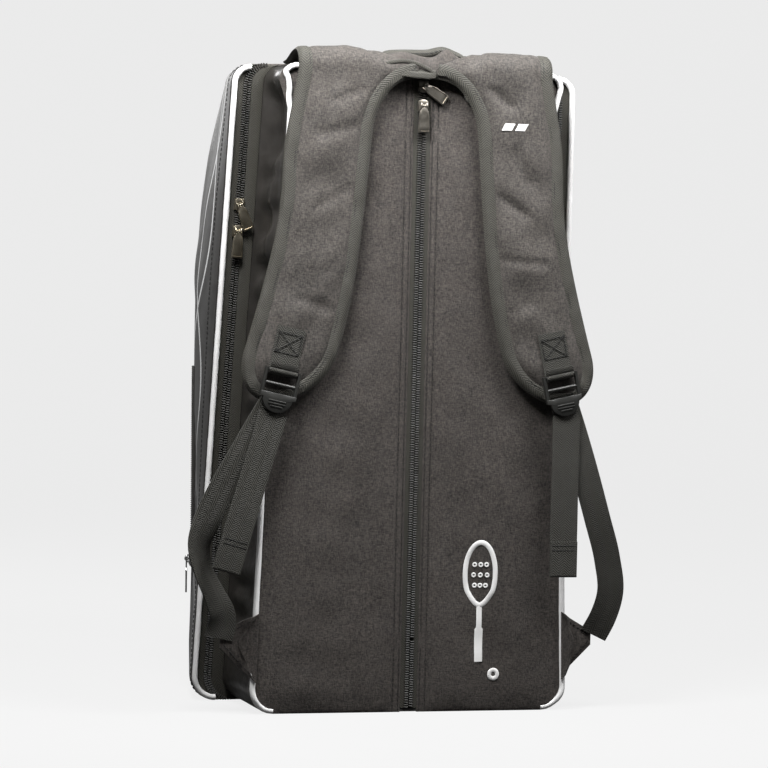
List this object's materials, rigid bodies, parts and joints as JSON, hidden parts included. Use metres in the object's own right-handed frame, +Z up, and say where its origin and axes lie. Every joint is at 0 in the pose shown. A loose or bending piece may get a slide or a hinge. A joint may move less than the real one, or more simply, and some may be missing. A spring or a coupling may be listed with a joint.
{
  "type": "racket tournament bag",
  "caption": "Tall standing racket bag with padded shoulder straps, a full-length back zip, two zipped side racket compartments, piping and webbing adjusters.",
  "frame": {"origin": "middle of the base, on the floor", "axes": "+Z up, -Y towards the strap side (the wearer's back), +X to the right as seen from the strap side"},
  "size_m": [0.3964, 0.3139, 0.5748],
  "materials": {
    "oxford": "heathered oxford weave, matt",
    "lining": "plain lining",
    "gusset": "coated cloth, satin",
    "printed": "coated cloth with printed lines, satin",
    "piping": "satin",
    "gunmetal": "antique gunmetal",
    "silver": "satin",
    "zip": "matt",
    "buckle": "satin",
    "webbing": "ribbed webbing"
  },
  "bodies": {
    "bag": {"back_panel_left": "oxford", "back_panel_right": "oxford", "back_piping_left": "piping", "back_piping_right": "piping", "back_zip_ends": "zip", "gusset_left": "gusset", "gusset_right": "gusset", "side_zip_inner_left": "zip", "side_zip_inner_right": "zip", "front_panel": "oxford", "top_panel": "oxford", "bottom_panel": "oxford", "divider_left": "lining", "divider_right": "lining", "strap_anchor_left": "oxford", "strap_anchor_right": "oxford", "yoke": "oxford", "wing_tab_left": "oxford", "wing_tab_right": "oxford"},
    "handle": {"grab_handle": "webbing"},
    "lip_left": {"back_lip_left": "oxford", "back_zip_left": "zip"},
    "cover_left": {"side_cover_left": "printed", "side_piping_left": "piping", "side_zip_outer_left": "zip", "pocket_zip": "zip"},
    "strap_left": {"strap_pad_left": "oxford", "strap_binding_left": "webbing", "strap_patch_left": "webbing", "adjuster_webbing_left": "webbing"},
    "lock_left": {"ladder_lock_left": "buckle"},
    "tail_left": {"webbing_tail_left": "webbing"},
    "side_slider_upper_left": {"side_slider_upper_left": "gunmetal"},
    "side_puller_upper_left": {"side_puller_upper_left": "gunmetal"},
    "side_slider_lower_left": {"side_slider_lower_left": "gunmetal"},
    "side_puller_lower_left": {"side_puller_lower_left": "gunmetal"},
    "lip_right": {"back_lip_right": "oxford", "back_zip_right": "zip"},
    "cover_right": {"side_cover_right": "printed", "side_piping_right": "piping", "side_zip_outer_right": "zip"},
    "strap_right": {"strap_pad_right": "oxford", "strap_binding_right": "webbing", "strap_patch_right": "webbing", "adjuster_webbing_right": "webbing"},
    "lock_right": {"ladder_lock_right": "buckle"},
    "tail_right": {"webbing_tail_right": "webbing"},
    "side_slider_upper_right": {"side_slider_upper_right": "gunmetal"},
    "side_puller_upper_right": {"side_puller_upper_right": "gunmetal"},
    "side_slider_lower_right": {"side_slider_lower_right": "gunmetal"},
    "side_puller_lower_right": {"side_puller_lower_right": "gunmetal"},
    "back_slider_upper": {"back_slider_upper": "gunmetal"},
    "back_puller_upper": {"back_puller_upper": "gunmetal"},
    "back_slider_lower": {"back_slider_lower": "gunmetal"},
    "back_puller_lower": {"back_puller_lower": "gunmetal"},
    "pocket_slider": {"pocket_slider": "silver"},
    "pocket_puller": {"pocket_puller": "silver"}
  },
  "joints": [
    {"name": "lip_left_open", "type": "hinge", "parent": "bag", "child": "lip_left", "pos_m": [-0.044, -0.145, 0.28], "axis": [0, 0, -1], "range_deg": [0, 75]},
    {"name": "lip_right_open", "type": "hinge", "parent": "bag", "child": "lip_right", "pos_m": [0.044, -0.145, 0.28], "axis": [0, 0, 1], "range_deg": [0, 75]},
    {"name": "cover_left_open", "type": "hinge", "parent": "bag", "child": "cover_left", "pos_m": [-0.116, 0.145, 0], "axis": [-0.0253, 0.0543, -0.9982], "range_deg": [0, 80]},
    {"name": "cover_right_open", "type": "hinge", "parent": "bag", "child": "cover_right", "pos_m": [0.116, 0.145, 0], "axis": [-0.0253, -0.0543, 0.9982], "range_deg": [0, 80]},
    {"name": "handle_swing", "type": "hinge", "parent": "bag", "child": "handle", "pos_m": [0, -0.141, 0.5598], "axis": [1, 0, 0], "range_deg": [-70, 70]},
    {"name": "strap_left_swing", "type": "hinge", "parent": "bag", "child": "strap_left", "pos_m": [-0.077, -0.156, 0.546], "axis": [-1, 0, 0], "range_deg": [0, 20], "deforming": ["adjuster_webbing_left"]},
    {"name": "lock_left_tilt", "type": "hinge", "parent": "strap_left", "child": "lock_left", "pos_m": [-0.123, -0.1654, 0.291], "axis": [-0.9781, 0, 0.2079], "range_deg": [0, 30]},
    {"name": "tail_left_swing", "type": "hinge", "parent": "lock_left", "child": "tail_left", "pos_m": [-0.13046, -0.1648, 0.25588], "axis": [-0.9703, 0, 0.2419], "range_deg": [0, 40]},
    {"name": "strap_right_swing", "type": "hinge", "parent": "bag", "child": "strap_right", "pos_m": [0.077, -0.156, 0.546], "axis": [-1, 0, 0], "range_deg": [0, 20], "deforming": ["adjuster_webbing_right"]},
    {"name": "lock_right_tilt", "type": "hinge", "parent": "strap_right", "child": "lock_right", "pos_m": [0.123, -0.1654, 0.291], "axis": [-0.9781, 0, -0.2079], "range_deg": [0, 30]},
    {"name": "tail_right_swing", "type": "hinge", "parent": "lock_right", "child": "tail_right", "pos_m": [0.13046, -0.1648, 0.25588], "axis": [-1, 0, 0], "range_deg": [0, 40]},
    {"name": "back_slider_upper_slide", "type": "slide", "parent": "bag", "child": "back_slider_upper", "axis": [0, 0, 1], "range_m": [0, 0.004]},
    {"name": "back_slider_lower_slide", "type": "slide", "parent": "bag", "child": "back_slider_lower", "axis": [0, 0, -1], "range_m": [0, 0.474]},
    {"name": "back_puller_upper_swing", "type": "hinge", "parent": "back_slider_upper", "child": "back_puller_upper", "pos_m": [0, -0.1504, 0.536], "axis": [-0.5299, 0, -0.848], "range_deg": [0, 90]},
    {"name": "back_puller_lower_swing", "type": "hinge", "parent": "back_slider_lower", "child": "back_puller_lower", "pos_m": [0, -0.1504, 0.519], "axis": [-1, 0, 0], "range_deg": [0, 110]},
    {"name": "side_slider_upper_left_slide", "type": "slide", "parent": "bag", "child": "side_slider_upper_left", "axis": [0.0271, -0.0812, 0.9963], "range_m": [0, 0.095]},
    {"name": "side_slider_lower_left_slide", "type": "slide", "parent": "bag", "child": "side_slider_lower_left", "axis": [-0.0271, 0.0812, -0.9963], "range_m": [0, 0.36]},
    {"name": "side_puller_upper_left_swing", "type": "hinge", "parent": "side_slider_upper_left", "child": "side_puller_upper_left", "pos_m": [-0.14426, -0.0896, 0.43156], "axis": [-0.9307, 0.0297, -0.3645], "range_deg": [0, 110]},
    {"name": "side_puller_lower_left_swing", "type": "hinge", "parent": "side_slider_lower_left", "child": "side_puller_lower_left", "pos_m": [-0.14489, -0.08772, 0.40856], "axis": [-0.9996, -0.0022, 0.027], "range_deg": [0, 110]},
    {"name": "side_slider_upper_right_slide", "type": "slide", "parent": "bag", "child": "side_slider_upper_right", "axis": [-0.0271, -0.0812, 0.9963], "range_m": [0, 0.095]},
    {"name": "side_slider_lower_right_slide", "type": "slide", "parent": "bag", "child": "side_slider_lower_right", "axis": [0.0271, 0.0812, -0.9963], "range_m": [0, 0.36]},
    {"name": "side_puller_upper_right_swing", "type": "hinge", "parent": "side_slider_upper_right", "child": "side_puller_upper_right", "pos_m": [0.14426, -0.0896, 0.43156], "axis": [-0.9307, -0.0297, 0.3645], "range_deg": [0, 110]},
    {"name": "side_puller_lower_right_swing", "type": "hinge", "parent": "side_slider_lower_right", "child": "side_puller_lower_right", "pos_m": [0.14489, -0.08772, 0.40856], "axis": [-0.9996, 0.0022, -0.027], "range_deg": [0, 110]},
    {"name": "pocket_slider_slide", "type": "slide", "parent": "cover_left", "child": "pocket_slider", "axis": [-0.0245, -0.0598, 0.9979], "range_m": [0, 0.16]},
    {"name": "pocket_puller_swing", "type": "hinge", "parent": "pocket_slider", "child": "pocket_puller", "pos_m": [-0.16297, 0.00482, 0.11893], "axis": [0.2101, 0.9756, 0.0636], "range_deg": [0, 110]}
  ]
}
